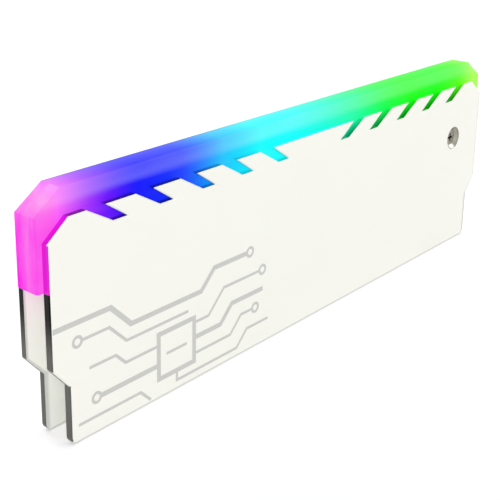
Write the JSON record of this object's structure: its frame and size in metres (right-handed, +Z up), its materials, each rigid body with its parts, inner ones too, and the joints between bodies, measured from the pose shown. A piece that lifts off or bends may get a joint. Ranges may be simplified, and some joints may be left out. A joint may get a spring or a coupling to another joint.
{
  "type": "ram heat spreader",
  "caption": "White clamp-on heat spreader for a memory module: notched aluminium plates screwed together, with a milky lit bar along the top and down the ends.",
  "frame": {"origin": "middle of the bottom, level with the lower edges of both plates", "axes": "+X along the module to the end with the front plate's screw, +Y through the thickness from the front plate to the back plate, +Z up to the light bar"},
  "size_m": [0.1384, 0.0076, 0.0442],
  "materials": {
    "white_coating": "fine satin white coating on aluminium, bare cut edges",
    "milky_plastic": "milky light-scattering plastic, lit from inside in a run of colours",
    "screw_steel": "plated steel",
    "standoff_brass": "turned brass",
    "thermal_pad": "soft matt thermal pad",
    "circuit_board": "white solder mask on glass epoxy",
    "led_body": "white moulded housing with a clear window",
    "ceramic_chip": "brown ceramic with tinned ends",
    "chip_plastic": "black moulding compound with tinned leads",
    "socket_plastic": "natural nylon",
    "contact_metal": "tin plate"
  },
  "bodies": {
    "root": {"front_plate": "white_coating", "back_plate": "white_coating", "light_bar": "milky_plastic", "front_screw": "screw_steel", "back_screw": "screw_steel", "right_standoff": "standoff_brass", "left_standoff": "standoff_brass", "front_pad": "thermal_pad", "back_pad": "thermal_pad", "led_board": "circuit_board", "driver_chip": "chip_plastic", "power_socket": "socket_plastic", "socket_pins": "contact_metal", "led_01": "led_body", "led_02": "led_body", "led_03": "led_body", "led_04": "led_body", "led_05": "led_body", "led_06": "led_body", "led_07": "led_body", "led_08": "led_body", "led_09": "led_body", "led_10": "led_body", "led_11": "led_body", "led_12": "led_body", "capacitor_01": "ceramic_chip", "capacitor_02": "ceramic_chip", "capacitor_03": "ceramic_chip", "capacitor_04": "ceramic_chip", "capacitor_05": "ceramic_chip", "capacitor_06": "ceramic_chip", "capacitor_07": "ceramic_chip", "capacitor_08": "ceramic_chip", "capacitor_09": "ceramic_chip", "capacitor_10": "ceramic_chip", "capacitor_11": "ceramic_chip", "capacitor_12": "ceramic_chip"}
  },
  "joints": []
}
